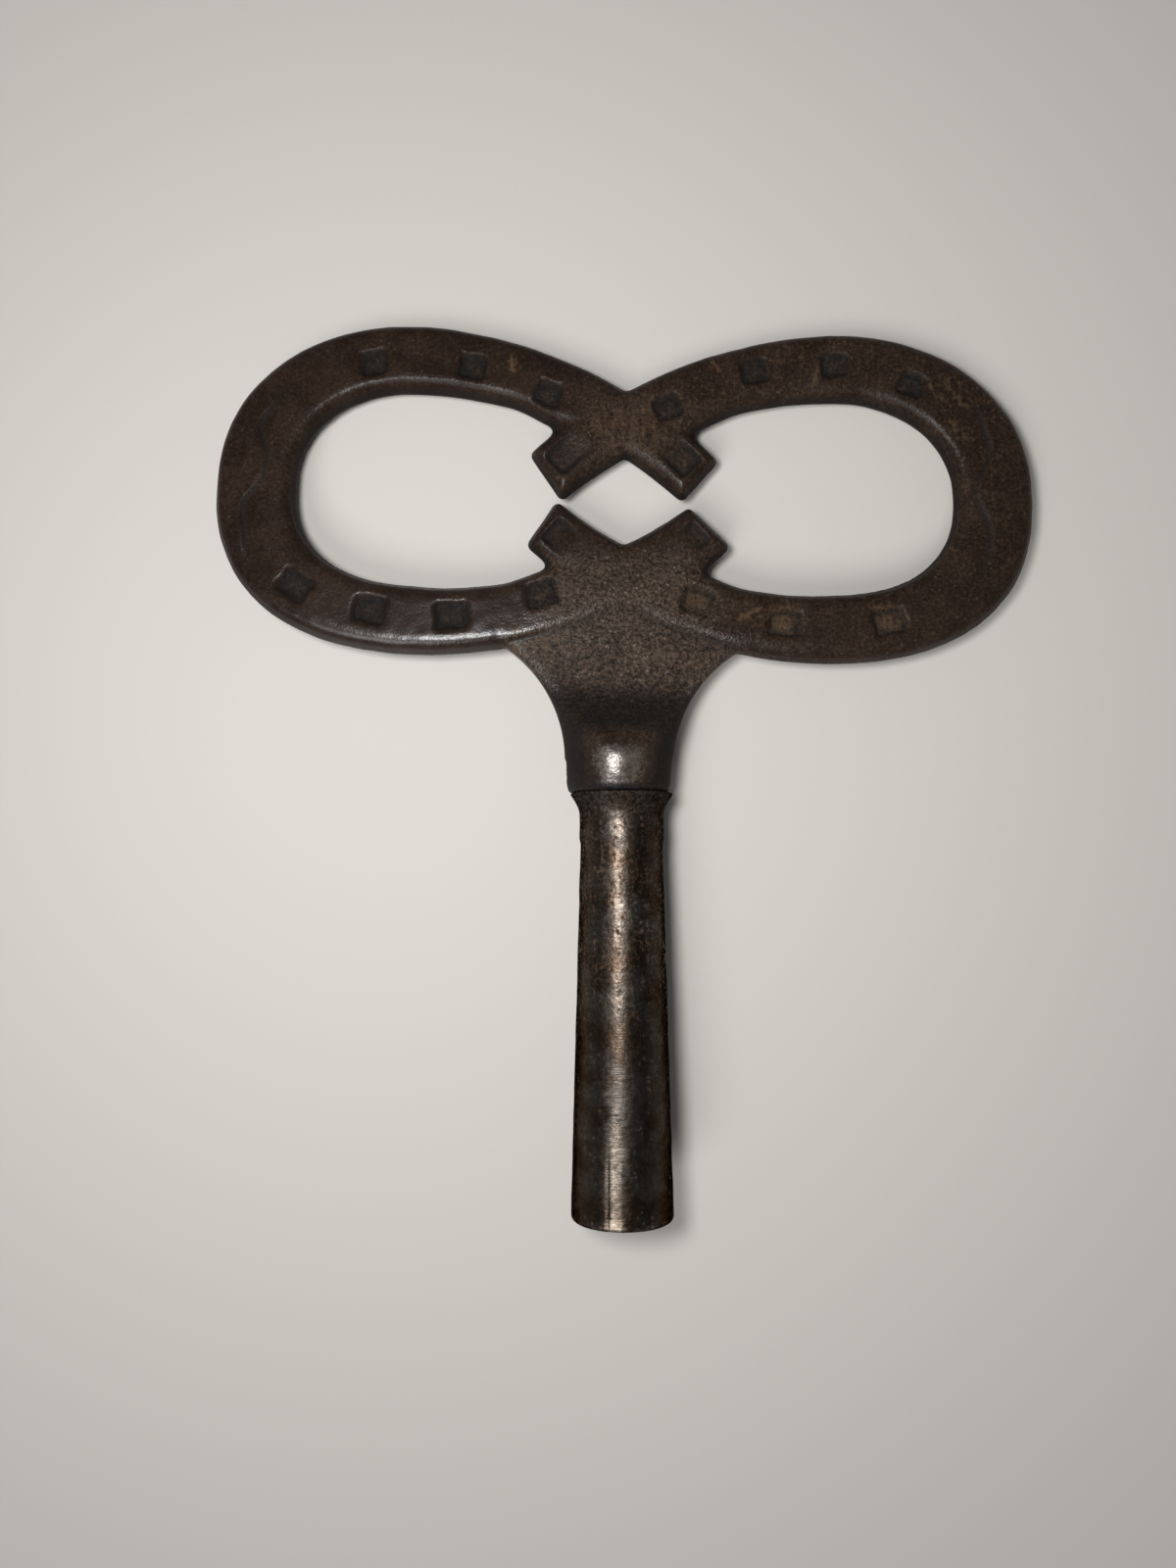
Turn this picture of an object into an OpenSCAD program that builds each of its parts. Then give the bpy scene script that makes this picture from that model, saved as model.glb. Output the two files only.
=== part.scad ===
// Clock winding key with a bow of two crossed horseshoes.
// The key lies along Y: the mouth of its socket is at the origin and the bow lies flat in the XY plane.

/* [Barrel] */
// Length of the barrel from its mouth to the seam under the bow
barrel_len = 32.9; // [28:0.1:45]
// Outer diameter of the barrel at the mouth
mouth_d = 8; // [7.6:0.1:9]
// Diameter of the barrel at its waist
waist_d = 6.4; // [6:0.1:7.4]
// Diameter of the flared head that bears on the bow
head_d = 7.6; // [7:0.1:8.4]
// Height of the flare, from the waist to the rim of the head
flare_h = 2.2; // [1.5:0.1:5]
// Thickness of the rim of the head
head_rim = 0.35; // [0.2:0.05:1]
// Chamfer on the outer edge of the mouth
mouth_chamfer = 0.35; // [0.1:0.05:0.5]

/* [Socket] */
// Width across the flats of the winding square
square_af = 4.5; // [3.5:0.05:4.75]
// Depth of the squared length of the socket
square_depth = 15; // [10:0.5:18]
// Depth of the drilled hole, without its conical end
drill_depth = 17; // [10:0.5:20]
// How much wider the drilled hole is than the square
drill_relief = 0.1; // [0.05:0.05:0.4]
// Angle of the drill's point
drill_point = 118; // [90:2:140]

/* [Tenon] */
// Diameter of the tenon that holds the barrel in the bow
tenon_d = 4.8; // [4:0.1:5.2]
// Length of the tenon
tenon_len = 3.8; // [3.2:0.1:4.2]
// Chamfer on the end of the tenon
tenon_chamfer = 0.3; // [0.1:0.05:0.6]
// Room left beyond the end of the tenon
tenon_end_gap = 0.3; // [0:0.05:0.5]
// Diameter of the pin that locks the tenon
pin_d = 1.6; // [1:0.1:2]
// Distance of the pin from the seam
pin_up = 1.9; // [1.5:0.05:2.2]
// How far each end of the pin is sunk below the side of the collar
pin_sunk = 0.15; // [0.05:0.05:0.6]

/* [Neck] */
// Diameter of the round collar above the seam
collar_d = 8.6; // [8:0.1:10]
// Height of the collar's crest above the seam
collar_crest = 2; // [1.2:0.1:2.4]
// How far the collar draws in from its crest to the seam
collar_draw = 0.3; // [0:0.05:0.45]
// Thickness of the web between the collar and the horseshoes
web_t = 2; // [1.6:0.1:2.4]
// Height above the seam at which the web has its own thickness
web_foot = 8.6; // [6:0.1:10]
// Radius of the sweep from the collar out to the horseshoes
neck_r = 10.9; // [9:0.1:14]
// Height above the seam at which that sweep starts
neck_start = 2.3; // [1.6:0.1:3]
// Half the width of the neck where it meets the horseshoes
neck_reach = 9.9; // [7:0.1:11]
// How far the neck runs up into the iron of the lower crossing
neck_bury = 5.5; // [4.5:0.1:6.5]
// How far the web's faces stay below the horseshoes' at the top of the neck
web_sunk = 0.05; // [0.02:0.01:0.2]
// Fullness of the web's cross-section, 2 for a plain ellipse
web_fullness = 5; // [3:0.5:8]

/* [Horseshoes] */
// Thickness of the horseshoes
shoe_t = 2.8; // [2.4:0.1:4]
// Height of the bow's middle above the seam
bow_up = 23.2; // [22.5:0.1:27]
// Distance from the middle of the bow to the middle of each toe's curve
shoe_reach = 16.7; // [15:0.1:19]
// Length of each toe's curve, measured to its outer edge
toe_len = 16.2; // [13:0.1:18]
// Half the height of each horseshoe
shoe_half_h = 13.5; // [12.2:0.1:14.2]
// Width of the iron at the toe
toe_w = 6.4; // [4.5:0.1:7]
// Width of the iron where the toe becomes a branch
branch_w = 5.6; // [3.6:0.1:6.2]
// Width of the iron at the heels
heel_w = 4.5; // [3.6:0.1:4.8]
// Radius of the upper branches
upper_r = 34.7; // [33:0.1:40]
// Radius of the lower branches
lower_r = 32.4; // [31:0.1:40]
// Gap between the corners of the upper and lower heels
heel_gap = 0.5; // [0.2:0.05:2]
// Height of that gap above the middle of its horseshoe
heel_gap_up = 0.3; // [-0.5:0.05:0.5]
// Fullness of the upper half of the toe, 2 for a plain ellipse
upper_fullness = 2.1; // [2:0.05:3]
// Fullness of the lower half of the toe, 2 for a plain ellipse
lower_fullness = 2.4; // [2:0.05:3]
// How far the sides draw in from the parting line at mid-thickness to the bevels
side_draw = 0.5; // [0.2:0.05:0.7]
// Bevel along every edge of the horseshoes
shoe_bevel = 0.3; // [0.2:0.05:0.7]
// How far the heels' corners are cut back
heel_corner = 0.5; // [0.2:0.05:0.8]
// Angle by which each toe is raised
shoe_tilt = 3.4; // [0:0.1:5]
// Angle by which the bow leans out of square with the barrel
bow_lean = 1.3; // [-3:0.1:3]
// Height above the seam of the point that it leans about
lean_up = 11.5; // [0:0.5:20]

/* [Nail pits] */
// Length of a pit along the branch
pit_len = 2.3; // [1.6:0.1:3]
// Width of a pit across the branch
pit_w = 2; // [1.4:0.1:2.4]
// Depth of a pit
pit_depth = 0.5; // [0.2:0.05:0.9]
// Length of the recess in each heel
recess_len = 3; // [2:0.1:4]
// Width of the recess in each heel
recess_w = 2.2; // [1.4:0.1:2.6]
// Depth of the recess in each heel
recess_depth = 0.35; // [0.2:0.05:0.7]
// Iron left between the recess and the end of its heel
recess_rim = 1; // [0.8:0.05:1.6]

/* [Toe pads] */
// Distance of the pad from the toe's outer edge
pad_inset = 1.1; // [0.6:0.05:1.4]
// How far the pad on the outer half of each toe stands up
pad_rise = 0.25; // [0.1:0.05:0.6]
// Width of the pad
pad_w = 2.2; // [1.4:0.1:3]
// Radius of the lobe in the middle of the pad
pad_lobe = 1.7; // [1:0.1:2.4]

/* [Hidden] */
$fn = 64;

// Where the pits lie: the distance along X from where the toe becomes a branch, and the distance out
// from the middle of the iron
left_upper_pits = [[-4.3, -0.5], [3.7, -0.5], [10.1, -0.9]];
left_lower_pits = [[-8.7, 0.2], [-2.7, -0.2], [3.8, -0.2], [11, -0.8]];
right_upper_pits = [[-6.9, -0.6], [-0.5, -0.2], [5.9, 0.1], [13.2, -0.6]];
right_lower_pits = [[-3.8, 0], [4.5, 0], [11.4, -0.4]];

// Steps round a quarter of a toe, along a branch and down the flare of the barrel's head
toe_steps = 14;
branch_steps = 12;
flare_steps = 8;
// Points round the neck, and the distance between its rings
neck_points = 32;
neck_step = 0.6;
// Fullness of the collar's cross-section, which is round
round_fullness = 2;
// Half the distance over which a branch's slope is taken
slope_step = 0.05;
// How far cutters run past the faces they cut
past = 1;

drill_d = square_af + drill_relief;
tenon_hole_len = tenon_len + tenon_end_gap;
pin_len = collar_d - 2 * pin_sunk;
// The lean carries the collar to one side of the barrel's axis
collar_x = (pin_up - lean_up) * sin(bow_lean);
toe_half_w = toe_w / 2;
branch_half_w = branch_w / 2;
// Half height and half length of the line along the middle of the iron
mid_half_h = shoe_half_h - branch_half_w;
mid_half_len = toe_len - toe_half_w;
// The ends of the heels are thinned by half as much as their corners are cut back
heel_thin = heel_corner / 2;
neck_top = bow_up - shoe_half_h + neck_bury;

function clamp01(x) = min(1, max(0, x));
function ease(from, to, x) = let (k = clamp01((x - from) / (to - from))) k * k * (3 - 2 * k);

// Angle that a branch turns through until its heel's corner is at a height above the middle of the shoe
function heel_turn(r, corner_up) = acos((corner_up + r - mid_half_h) / (r - heel_w / 2));

// The two sides of a horseshoe: fullness of the toe, radius of the branch and the angle it turns through
upper_side = [upper_fullness, upper_r, heel_turn(upper_r, heel_gap / 2 + heel_gap_up)];
lower_side = [lower_fullness, lower_r, heel_turn(lower_r, heel_gap / 2 - heel_gap_up)];

// A point on the toe: t is 0 at the very toe and 90 where the branch starts
function toe_point(half_len, half_h, fullness, t) =
    [-half_len * pow(cos(t), 2 / fullness), half_h * pow(sin(t), 2 / fullness)];

// A pair of points across the iron of the toe, outer edge first
function toe_pair(fullness, t) = [
    toe_point(toe_len, shoe_half_h, fullness, t),
    toe_point(toe_len - toe_w, shoe_half_h - branch_w, fullness, t)
];

// A point on the middle line of a branch, and the pair of points across the iron there
function branch_mid(side, turn) = [side[1] * sin(turn), mid_half_h - side[1] * (1 - cos(turn))];
function branch_pair(side, turn, half_w) = let (across = [sin(turn), cos(turn)])
    [branch_mid(side, turn) + half_w * across, branch_mid(side, turn) - half_w * across];
function branch_half(side, turn) =
    branch_half_w + (heel_w / 2 - branch_half_w) * turn / side[2];

function flip(points) = [for (p = points) [p[0], -p[1]]];
function reversed(list) = [for (i = [len(list) - 1 : -1 : 0]) list[i]];

// Pairs from the very toe to the end of one heel, with the heel's corners cut back
function half_shoe(side) =
    let (straight_turn = side[2] - heel_corner / side[1] * 180 / PI)
    concat(
        [for (i = [0 : toe_steps - 1]) toe_pair(side[0], 90 * i / toe_steps)],
        [for (i = [0 : branch_steps])
            let (turn = straight_turn * i / branch_steps)
            branch_pair(side, turn, branch_half(side, turn))],
        [branch_pair(side, side[2], heel_w / 2 - heel_corner)]
    );

// Cross-section of the iron through one pair of points on the parting line, as a ten-sided ring
function iron_ring(pair, cut) =
    let (across = (pair[1] - pair[0]) / norm(pair[1] - pair[0]))
    let (wall = across * side_draw, face = across * (side_draw + shoe_bevel))
    let (top = shoe_t / 2 - cut)
    let (side = top - shoe_bevel)
    [
        [each pair[0], 0],
        [each pair[0] + wall, side],
        [each pair[0] + face, top],
        [each pair[1] - face, top],
        [each pair[1] - wall, side],
        [each pair[1], 0],
        [each pair[1] - wall, -side],
        [each pair[1] - face, -top],
        [each pair[0] + face, -top],
        [each pair[0] + wall, -side]
    ];

// Closed skin over a row of rings that have the same number of points
module skin(rings) {
    n = len(rings[0]);
    last = len(rings) - 1;
    walls = [
        for (i = [0 : last - 1], j = [0 : n - 1])
            let (a = i * n + j, b = i * n + (j + 1) % n)
            each [[a, b + n, b], [a, a + n, b + n]]
    ];
    caps = [[for (j = [0 : n - 1]) j], [for (j = [n - 1 : -1 : 0]) last * n + j]];
    polyhedron([for (r = rings) each r], concat(walls, caps));
}

// One horseshoe with its toe to the left; its middle line runs along X from the middle of the toe's curve
module horseshoe_iron() {
    lower = reversed([for (p = half_shoe(lower_side)) flip(p)]);
    upper = half_shoe(upper_side);
    pairs = concat(lower, [for (i = [1 : len(upper) - 1]) upper[i]]);
    last = len(pairs) - 1;
    skin([for (i = [0 : last]) iron_ring(pairs[i], i == 0 || i == last ? heel_thin : 0)]);
}

// Middle of the iron at a distance x along the shoe, and its slope there
function iron_mid(side, x) = x >= 0
    ? branch_mid(side, asin(x / side[1]))
    : toe_point(mid_half_len, mid_half_h, side[0], acos(pow(-x / mid_half_len, side[0] / 2)));
function iron_slope(side, x) =
    let (step = iron_mid(side, x + slope_step) - iron_mid(side, x - slope_step)) atan2(step[1], step[0]);

// A shallow square sinking, cut in both faces
module sinking(length, width, depth) {
    for (face = [-1, 1])
        translate([0, 0, face * (shoe_t / 2 - depth + (depth + past) / 2)])
            cube([length, width, depth + past], center = true);
}

module pits(side, places) {
    for (place = places)
        translate(iron_mid(side, place[0]))
            rotate(iron_slope(side, place[0]))
                translate([0, place[1]])
                    sinking(pit_len, pit_w, pit_depth);
}

module heel_recess(side) {
    translate(branch_mid(side, side[2]))
        rotate(-side[2])
            translate([-recess_rim - recess_len / 2, 0])
                sinking(recess_len, recess_w, recess_depth);
}

// Raised pad on the outer half of a toe, on both faces
module toe_pad() {
    half_len = toe_len - pad_inset;
    half_h = shoe_half_h - pad_inset;
    outline = concat(
        [for (i = [0 : toe_steps]) toe_point(half_len, half_h, upper_fullness, 90 * i / toe_steps)],
        flip([for (i = [toe_steps : -1 : 1]) toe_point(half_len, half_h, lower_fullness, 90 * i / toe_steps)])
    );
    linear_extrude(shoe_t + 2 * pad_rise, center = true)
        intersection() {
            polygon(outline);
            translate([pad_w - half_len, 0])
                union() {
                    translate([-2 * pad_w, -shoe_half_h])
                        square([2 * pad_w, 2 * shoe_half_h]);
                    circle(pad_lobe);
                }
        }
}

// One finished horseshoe, with the pits of its upper and lower branch
module horseshoe(upper_pits, lower_pits) {
    difference() {
        union() {
            horseshoe_iron();
            toe_pad();
        }
        pits(upper_side, upper_pits);
        heel_recess(upper_side);
        mirror([0, 1, 0]) {
            pits(lower_side, lower_pits);
            heel_recess(lower_side);
        }
    }
}

// Half width, half thickness and fullness of the neck at a height above the seam
function neck_half_w(up) =
    let (rise = clamp01((up - neck_start) / neck_r))
    min(neck_reach, neck_round(up) + neck_r * (1 - sqrt(1 - rise * rise)));
function neck_round(up) =
    collar_d / 2 - collar_draw * pow(max(0, collar_crest - up) / collar_crest, 2);
function neck_half_t(up) =
    let (into_web = ease(neck_start, web_foot, up))
    let (swell = (shoe_t - 2 * web_sunk - web_t) * ease(web_foot, neck_top, up))
    neck_round(up) * (1 - into_web) + into_web * (web_t + swell) / 2;
function neck_fullness(up) =
    round_fullness + (web_fullness - round_fullness) * ease(neck_start, web_foot, up);

function signed_power(x, e) = sign(x) * pow(abs(x), e);
function neck_ring(up) = [
    for (i = [0 : neck_points - 1])
        let (a = -360 * (i + 0.5) / neck_points, e = 2 / neck_fullness(up))
        [neck_half_w(up) * signed_power(cos(a), e), up, neck_half_t(up) * signed_power(sin(a), e)]
];

module neck() {
    steps = ceil((neck_top + past) / neck_step);
    skin([for (i = [0 : steps]) neck_ring(-past + (neck_top + past) * i / steps)]);
}

// Cast-iron bow: two crossed horseshoes on a flared neck, bored from below for the barrel's tenon
module bow() {
    color("#4a3d33")
        difference() {
            translate([0, barrel_len + lean_up])
                rotate(-bow_lean) {
                    translate([0, -lean_up])
                        neck();
                    translate([0, bow_up - lean_up]) {
                        rotate(-shoe_tilt)
                            translate([-shoe_reach, 0])
                                horseshoe(left_upper_pits, left_lower_pits);
                        rotate(shoe_tilt)
                            mirror([1, 0, 0])
                                translate([-shoe_reach, 0])
                                    horseshoe(right_upper_pits, right_lower_pits);
                    }
                }
            // The seam is faced off square to the barrel
            translate([-collar_d, barrel_len - 2 * past, -collar_d])
                cube([2 * collar_d, 2 * past, 2 * collar_d]);
            translate([0, barrel_len - past, 0])
                rotate([-90, 0, 0])
                    cylinder(d = tenon_d, h = tenon_hole_len + past);
            pin_hole();
        }
}

// The hole for the locking pin, drilled from side to side
module pin_hole() {
    translate([-collar_d, barrel_len + pin_up, 0])
        rotate([0, 90, 0])
            cylinder(d = pin_d, h = 2 * collar_d);
}

// Steel barrel: a tapered pipe with a flared head, a tenon above it and a drifted square in its mouth
module barrel() {
    flare_r = (head_d - waist_d) / 2;
    flare_foot = barrel_len - head_rim - flare_h;
    flare = [
        for (i = [0 : flare_steps])
            let (k = i / flare_steps) [waist_d / 2 + flare_r * k * k, flare_foot + flare_h * k]
    ];
    color("#3a3028")
        difference() {
            rotate([-90, 0, 0])
                rotate_extrude()
                    polygon(concat(
                        [[0, 0], [mouth_d / 2 - mouth_chamfer, 0], [mouth_d / 2, mouth_chamfer]],
                        flare,
                        [
                            [head_d / 2, barrel_len],
                            [tenon_d / 2, barrel_len],
                            [tenon_d / 2, barrel_len + tenon_len - tenon_chamfer],
                            [tenon_d / 2 - tenon_chamfer, barrel_len + tenon_len],
                            [0, barrel_len + tenon_len]
                        ]
                    ));
            translate([-square_af / 2, -past, -square_af / 2])
                cube([square_af, square_depth + past, square_af]);
            rotate([-90, 0, 0]) {
                translate([0, 0, -past])
                    cylinder(d = drill_d, h = drill_depth + past);
                translate([0, 0, drill_depth])
                    cylinder(d1 = drill_d, d2 = 0, h = drill_d / 2 / tan(drill_point / 2));
            }
            pin_hole();
        }
}

// Steel pin driven through the collar and the tenon, its ends dressed off below the collar's sides
module cross_pin() {
    color("#5a5048")
        translate([collar_x - pin_len / 2, barrel_len + pin_up, 0])
            rotate([0, 90, 0])
                cylinder(d = pin_d, h = pin_len);
}

bow();
barrel();
cross_pin();
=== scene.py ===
import bpy
import numpy as np
from mathutils import Matrix, Vector


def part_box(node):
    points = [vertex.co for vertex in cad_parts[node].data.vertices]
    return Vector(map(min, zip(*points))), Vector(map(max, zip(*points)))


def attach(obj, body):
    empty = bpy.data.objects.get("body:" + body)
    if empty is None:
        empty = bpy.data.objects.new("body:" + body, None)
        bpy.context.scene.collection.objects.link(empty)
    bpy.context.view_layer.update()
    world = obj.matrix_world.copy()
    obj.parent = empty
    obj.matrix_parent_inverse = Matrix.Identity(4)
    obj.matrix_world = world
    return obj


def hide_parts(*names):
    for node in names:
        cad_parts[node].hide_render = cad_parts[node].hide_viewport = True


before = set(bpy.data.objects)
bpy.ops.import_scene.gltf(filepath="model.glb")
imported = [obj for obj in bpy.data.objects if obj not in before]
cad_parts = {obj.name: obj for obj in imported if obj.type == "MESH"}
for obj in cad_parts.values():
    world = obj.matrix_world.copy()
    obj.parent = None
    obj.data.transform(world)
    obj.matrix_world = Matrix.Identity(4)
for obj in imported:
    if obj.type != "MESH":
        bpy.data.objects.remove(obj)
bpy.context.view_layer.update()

# Barrel: a tapered steel pipe that was turned, drilled and then drifted square at its mouth.
# Its flared head bears on the casting above it, and a tenon beyond the head is driven into the casting.
# The sizes are in millimetres, as on a drawing, and become metres when a mesh is made.
MM = 0.001
barrel_high = np.array(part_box("barrel")[1]) / MM
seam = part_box("bow")[0].y / MM
mouth_r, tenon_top = barrel_high[0], barrel_high[1]
waist_r, head_r, tenon_r = 3.22, 4.05, 2.4
flare_h, flare_power = 2.3, 2.2
head_rim, head_round, tenon_chamfer = 0.15, 0.12, 0.3
mouth_round, mouth_break = 0.45, 0.2
square_half, square_depth, square_corner = 2.25, 15.0, 0.25
drill_r, drill_depth, drill_point, drill_tip_r = 2.3, 17.0, np.radians(118), 0.02
dent_room = 0.02
barrel_points, barrel_step, mouth_steps, head_steps = 240, 0.3, 9, 5

# A faint bead lies at the foot of the flare: it begins and ends between these distances below the seam.
bead_rise, bead_foot, bead_top = 0.11, (4.1, 3.5), (1.3, 2.3)

# A narrow flat was filed along the top of the mouth, and a scored line runs beside it.
file_turn, file_half, file_end = np.radians(-10.5), np.radians(7.5), (3.5, 7.0)
score_turn, score_half, score_depth = np.radians(-17.8), np.radians(1.6), 0.06


def ease(low, high, value):
    """Goes smoothly from 0 at low to 1 at high."""
    share = np.clip((value - low) / (high - low), 0, 1)
    return share * share * (3 - 2 * share)


def band(value, middle, half_width):
    """1 at the middle of a band, and smoothly down to nearly 0 beyond twice its half width."""
    return np.exp(-(((value - middle) / half_width) ** 2))


def unevenness(place, depth, wavelength, seed, waves=24, scatter=(0.6, 1.5)):
    """A smooth random wave over places in millimetres, mostly between minus and plus its depth."""
    draw = np.random.default_rng(seed)
    total = 0
    for _ in range(waves):
        way = draw.normal(size=place.shape[-1])
        way *= 2 * np.pi / wavelength * draw.uniform(*scatter) / np.linalg.norm(way)
        total = total + np.sin(place @ way + draw.uniform(0, 2 * np.pi))
    return depth * (total / np.sqrt(waves))


def ring_skin(rings):
    """Points and faces of a closed skin over rings of points that all have the same count."""
    count = len(rings[0])
    here = np.arange(count)
    there = np.roll(here, -1)
    faces = [here[::-1].tolist()]
    for step in range(len(rings) - 1):
        low, high = step * count, (step + 1) * count
        faces += np.stack([low + here, low + there, high + there, high + here], -1).tolist()
    faces.append((len(rings) * count - count + here).tolist())
    return np.concatenate(rings), faces


def make_piece(name, points, faces, masks):
    """A smooth mesh piece from points in millimetres. Each mask has one value, or one for every point."""
    mesh = bpy.data.meshes.new(name)
    mesh.from_pydata((points * MM).tolist(), [], faces)
    mesh.shade_smooth()
    for mask, values in masks.items():
        layer = mesh.attributes.new(mask, "FLOAT", "POINT")
        everywhere = np.broadcast_to(values, len(points))
        layer.data.foreach_set("value", np.ascontiguousarray(everywhere, np.float32))
    piece = bpy.data.objects.new(name, mesh)
    bpy.context.scene.collection.objects.link(piece)
    return piece


def barrel_ring(height, radius):
    """A ring of points round the barrel's axis. The first is on top, and they go towards the right."""
    heights = np.full(barrel_points, height)
    return np.stack([radius * np.sin(round_turn), heights, radius * np.cos(round_turn)], -1)


def turn_from(middle):
    """Angle from a middle one to each point of a ring, between minus and plus half a turn."""
    return (round_turn - middle + np.pi) % (2 * np.pi) - np.pi


def barrel_outside(height):
    """Radius of the barrel's outer skin all round at a height, with its filed flat, score and dents."""
    flare_foot = seam - head_rim - flare_h
    if height < flare_foot:
        plain = waist_r + (mouth_r - waist_r) * (flare_foot - height) / flare_foot
    else:
        share = np.clip((height - flare_foot) / flare_h, 0, 1)
        plain = waist_r + (head_r - waist_r) * share ** flare_power
    bead = bead_rise * ease(*bead_foot, seam - height) * ease(*bead_top, seam - height)
    radius = np.full(barrel_points, bead + plain)
    filed = 1 - ease(*file_end, height)
    from_flat = turn_from(file_turn)
    flat = radius * np.cos(file_half) / np.cos(np.clip(from_flat, -file_half, file_half))
    radius = np.where(np.abs(from_flat) < file_half, radius + (flat - radius) * filed, radius)
    radius = radius - score_depth * filed * band(turn_from(score_turn), 0, score_half)
    place = barrel_ring(height, radius)
    long_dents = unevenness(place, depth=0.012, wavelength=3.5, seed=11)
    short_dents = unevenness(place, depth=0.008, wavelength=1.2, seed=12)
    return radius - dent_room + long_dents + short_dents


round_turn = 2 * np.pi * np.arange(barrel_points) / barrel_points
across = np.maximum(np.abs(np.sin(round_turn)), np.abs(np.cos(round_turn)))
square_r = np.minimum(square_half / across, np.hypot(square_half, square_half) - square_corner)
socket_r = np.maximum(square_r, drill_r)

# The rings go from the end of the drilled hole out through the square, round the mouth,
# up the outside and in over the head to the end of the tenon.
barrel_rings = [
    barrel_ring(drill_depth + drill_r / np.tan(drill_point / 2), drill_tip_r),
    barrel_ring(drill_depth, drill_r),
    barrel_ring(square_depth, drill_r),
    barrel_ring(square_depth, socket_r),
    barrel_ring(mouth_break, socket_r),
    barrel_ring(0, socket_r + mouth_break),
]
for turn in np.linspace(0, np.pi / 2, mouth_steps):
    height = mouth_round * (1 - np.cos(turn))
    drawn_in = mouth_round * (1 - np.sin(turn))
    barrel_rings.append(barrel_ring(height, barrel_outside(height) - drawn_in))
for height in np.arange(mouth_round + barrel_step, seam - head_round, barrel_step):
    barrel_rings.append(barrel_ring(height, barrel_outside(height)))
for turn in np.linspace(0, np.pi / 2, head_steps):
    height = seam - head_round * (1 - np.sin(turn))
    drawn_in = head_round * (1 - np.cos(turn))
    barrel_rings.append(barrel_ring(height, barrel_outside(seam - head_round) - drawn_in))
barrel_rings += [
    barrel_ring(seam, tenon_r),
    barrel_ring(tenon_top - tenon_chamfer, tenon_r),
    barrel_ring(tenon_top, tenon_r - tenon_chamfer),
]
points, faces = ring_skin(barrel_rings)

# Hands and the clock's square rub the mouth and the flat. Grain grows towards the seam, and painted shade
# darkens the flare under it.
# Within inside_r there is only the socket and the tenon, which are darkened all over.
inside_r = waist_r - 0.3
from_mouth = points[:, 1]
from_axis = np.hypot(points[:, 0], points[:, 2])
edge_of_mouth = ease(1.2, 0.2, from_mouth)
under_seam = ease(seam - 2.4, seam - 0.6, from_mouth)
from_flat = (np.arctan2(points[:, 0], points[:, 2]) - file_turn) / file_half
on_flat = band(from_flat, 0, 1.2) * ease(14, 4, from_mouth)
rubbed = 0.05 + 0.3 * edge_of_mouth * ease(3.3, 3.9, from_axis) + 0.5 * on_flat
barrel = make_piece("barrel_pipe", points, faces, {
    "wear": np.where(from_axis > inside_r + 0.1, rubbed, 0),
    "rust": 0.03 + 0.08 * ease(10, 22, from_mouth) + 0.04 * edge_of_mouth,
    "grain": 0.12 + 0.22 * ease(4, 22, from_mouth) + 0.4 * under_seam,
    # Painted shade under the seam, and the socket and tenon darkened all over.
    "sunk": np.where(from_axis < inside_r, 0.8, 0.5 * under_seam),
    "turned": 0.12 + 0.13 * ease(20, 2, from_mouth),
    "metal": ease(inside_r, inside_r + 0.2, from_axis),
    "polish": 0,
})


def add_node(tree, kind, inputs=None, **settings):
    """A shader node. Each input is a plain value, or a socket that is linked to it."""
    made = tree.nodes.new(kind)
    for name, value in settings.items():
        setattr(made, name, value)
    for name, value in (inputs or {}).items():
        if isinstance(value, bpy.types.NodeSocket):
            tree.links.new(value, made.inputs[name])
        else:
            made.inputs[name].default_value = value
    return made


def calculated(tree, kind, first, second):
    """One Math node's result."""
    return add_node(tree, "ShaderNodeMath", {0: first, 1: second}, operation=kind).outputs[0]


def product(tree, value, *factors):
    """A value times each of some factors."""
    for factor in factors:
        value = calculated(tree, "MULTIPLY", value, factor)
    return value


def with_shares(tree, value, *parts):
    """A value plus each of some others, times its share."""
    for part, share in parts:
        value = calculated(tree, "ADD", value, product(tree, part, share))
    return value


def soft_step(tree, value, low, high, bottom=0.0, top=1.0):
    """Goes smoothly from bottom to top as a value passes from low to high."""
    inputs = {"Value": value, "From Min": low, "From Max": high, "To Min": bottom, "To Max": top}
    return add_node(tree, "ShaderNodeMapRange", inputs, interpolation_type="SMOOTHSTEP").outputs[0]


def mixed(tree, share, first, second, kind="MIX"):
    """Two colours mixed by a share."""
    inputs = {0: share, 6: first, 7: second}
    return add_node(tree, "ShaderNodeMix", inputs, data_type="RGBA", blend_type=kind).outputs[2]


def noise(tree, place, scale, detail, roughness=0.55):
    """A noise value between about 0.2 and 0.8, with a scale in waves to the metre."""
    inputs = {"Vector": place, "Scale": scale, "Detail": detail, "Roughness": roughness}
    return add_node(tree, "ShaderNodeTexNoise", inputs).outputs[0]


def stretched(tree, place, scale, slope=0.0):
    """Places scaled along each axis and turned by a slope about Z."""
    inputs = {"Vector": place, "Scale": scale, "Rotation": (0, 0, slope)}
    return add_node(tree, "ShaderNodeMapping", inputs).outputs[0]
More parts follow.
